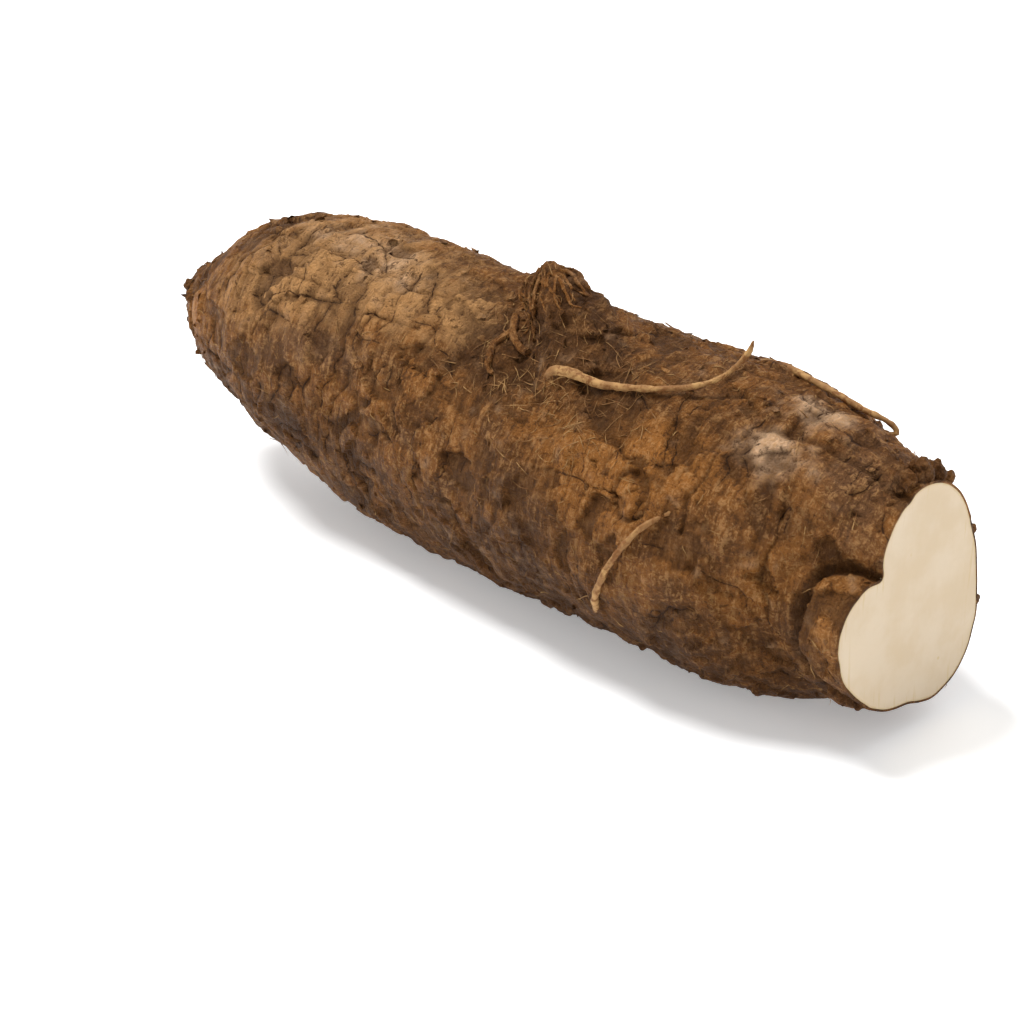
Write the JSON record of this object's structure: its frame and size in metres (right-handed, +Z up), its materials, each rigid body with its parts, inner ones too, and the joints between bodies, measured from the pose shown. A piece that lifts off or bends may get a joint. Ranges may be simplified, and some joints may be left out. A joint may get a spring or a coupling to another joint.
{
  "type": "kudzu root",
  "caption": "Thick rough-skinned kudzu root lying on its side, whole at the tip and cut square across at the other end to show pale flesh, with a broken side shoot and thin rootlets.",
  "frame": {"origin": "under the middle of the root, on the surface it lies on", "axes": "+X along the root from its tip to the cut face, +Z up, +Y across the root to its right seen from the cut face"},
  "size_m": [0.312, 0.1002, 0.111],
  "materials": {
    "skin": "dry rough bark, brown with tan and orange patches, darker in its creases",
    "flesh": "fresh cut starchy flesh, cream, matt and slightly moist",
    "rootlet": "thin fibrous rootlet, tan, dry",
    "soil": "dark dried soil and torn bark"
  },
  "bodies": {
    "root": {"kudzu_root": "skin"}
  },
  "joints": []
}
